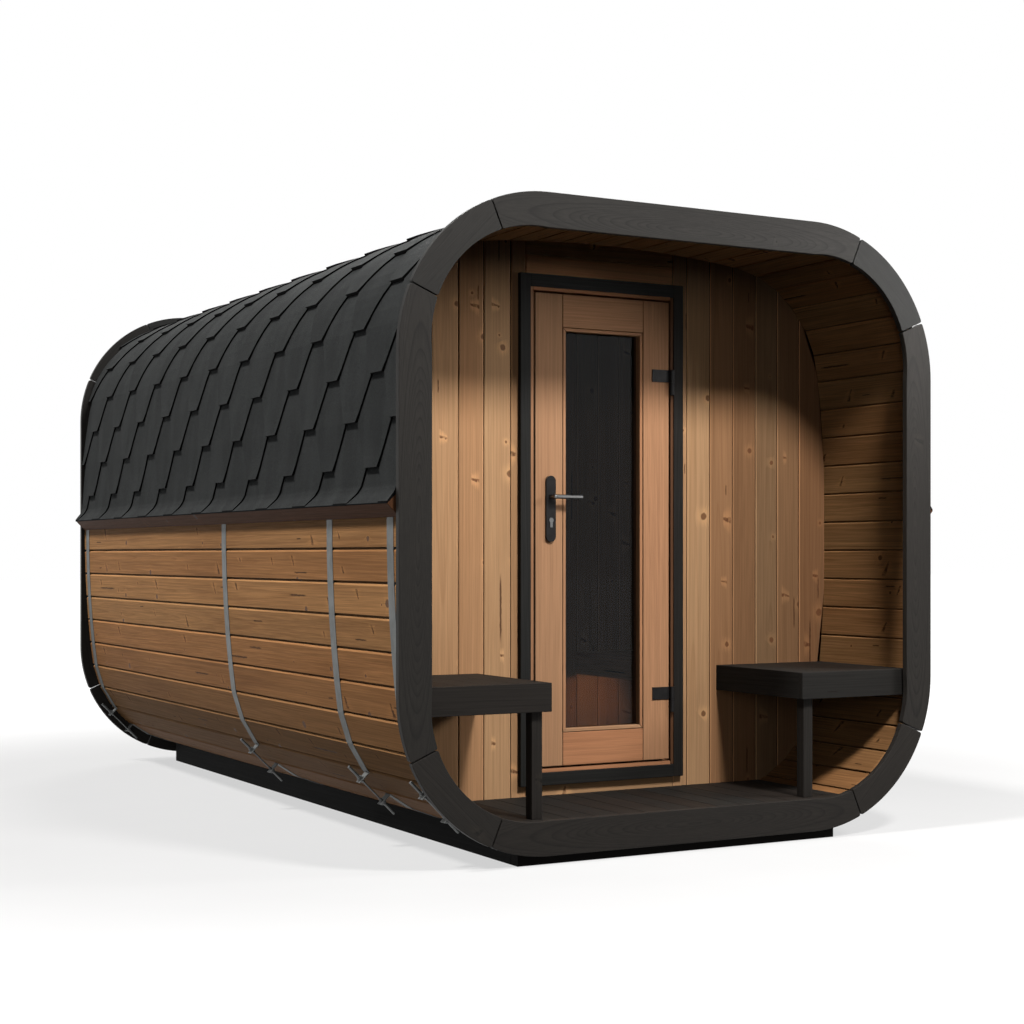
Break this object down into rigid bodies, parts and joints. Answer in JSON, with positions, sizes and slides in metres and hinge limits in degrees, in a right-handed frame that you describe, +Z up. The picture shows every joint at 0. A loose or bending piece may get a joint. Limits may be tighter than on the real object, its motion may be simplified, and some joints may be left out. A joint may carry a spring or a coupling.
{
  "type": "cube sauna",
  "caption": "Rounded square sauna cabin of staves and steel bands, with a roofed terrace, terrace benches, a shingled roof and a glazed door that opens outwards.",
  "frame": {"origin": "on the ground, under the middle of the building", "axes": "+X across the front, to the right of someone who faces the door; +Y from the terrace to the back wall; +Z up"},
  "size_m": [2.117, 3.436, 2.084],
  "materials": {
    "ring_boards": "dark brown stain, satin",
    "shell_staves": "clear oiled softwood",
    "end_wall_boards": "clear oiled softwood",
    "partition_boards": "planed softwood",
    "terrace_boards": "dark stain",
    "floor_boards": "planed softwood",
    "shingles": "mineral grit",
    "eave_wood": "clear oiled softwood",
    "band_steel": "rolled strip",
    "zinc_steel": "zinc plated",
    "base_frame": "black stain",
    "casing_boards": "dark stain",
    "jamb_wood": "clear oiled softwood",
    "door_wood": "clear oiled softwood",
    "glazing": "tinted glass",
    "black_steel": "matt black",
    "cylinder_metal": "satin",
    "bench_wood": "dark stain",
    "room_bench_wood": "planed softwood"
  },
  "bodies": {
    "cabin": {"front_trim_boards": "ring_boards", "front_trim_corners": "ring_boards", "back_trim_boards": "ring_boards", "back_trim_corners": "ring_boards", "wall_bottom": "shell_staves", "wall_top": "shell_staves", "wall_left": "shell_staves", "wall_right": "shell_staves", "wall_lower_corner_left": "shell_staves", "wall_lower_corner_right": "shell_staves", "wall_upper_corner_left": "shell_staves", "wall_upper_corner_right": "shell_staves", "front_wall_sides": "end_wall_boards", "front_wall_header": "end_wall_boards", "front_wall_sill": "end_wall_boards", "back_wall": "end_wall_boards", "terrace_floor": "terrace_boards", "room_floor": "floor_boards", "cabin_floor": "floor_boards", "roof_left": "shingles", "roof_top": "shingles", "roof_right": "shingles", "eave_mouldings": "eave_wood", "steel_bands": "band_steel", "band_tensioners": "zinc_steel", "base_skids": "base_frame", "base_beams": "base_frame", "door_casing": "casing_boards", "door_jamb": "jamb_wood", "door_stops": "jamb_wood", "hinge_frame_halves": "black_steel", "bench_seats": "bench_wood", "bench_aprons": "bench_wood", "bench_posts": "bench_wood", "partition_sides": "partition_boards", "partition_header": "partition_boards", "room_bench_apron": "room_bench_wood", "room_bench_seat": "room_bench_wood"},
    "door": {"door_leaf": "door_wood", "glazing_beads": "door_wood", "door_glass": "glazing", "hinge_leaf_halves": "black_steel", "handle_plates": "black_steel", "key_cylinder": "cylinder_metal"},
    "lever": {"lever": "black_steel"}
  },
  "joints": [
    {"name": "door_hinge", "type": "hinge", "parent": "cabin", "child": "door", "pos_m": [0.281, -1.2123, 0.404], "axis": [0, 0, 1], "range_deg": [0, 100]},
    {"name": "lever_turn", "type": "hinge", "parent": "door", "child": "lever", "pos_m": [-0.2155, -1.203, 1.159], "axis": [0, 1, 0], "range_deg": [0, 40], "stiffness_Nm_per_rad": 2}
  ]
}
